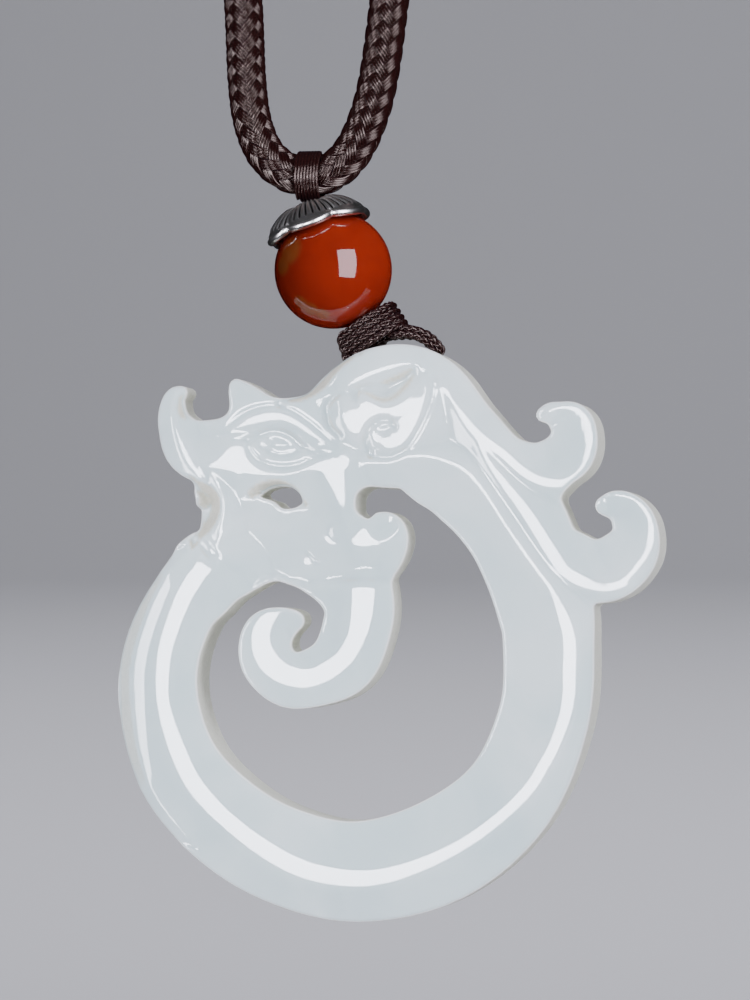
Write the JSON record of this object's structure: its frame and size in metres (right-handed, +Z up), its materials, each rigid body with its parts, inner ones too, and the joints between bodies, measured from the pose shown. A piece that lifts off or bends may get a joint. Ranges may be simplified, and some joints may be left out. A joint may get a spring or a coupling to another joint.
{
  "type": "carved jade ring pendant on a braided neck cord",
  "caption": "Ring-shaped jade pendant carved as a coiled dragon, hung under a round stone bead with a petal cap on a closed braided neck cord.",
  "frame": {"origin": "underside of the top of the neck cord's loop, where it rests on a neck or a peg", "axes": "+Z up, -Y out of the carved front face, +X to the right of the front view"},
  "size_m": [0.1148, 0.0118, 0.3703],
  "materials": {
    "jade": "polished",
    "red_stone": "polished",
    "silver": "antique, with dark recesses",
    "braid": "satin braid",
    "thread": "satin thread",
    "tie_braid": "fine braid"
  },
  "bodies": {
    "root": {"jade": "jade", "bead": "red_stone", "bead_cap": "silver", "neck_cord": "braid", "bead_thread": "thread", "jade_knot": "tie_braid"}
  },
  "joints": []
}
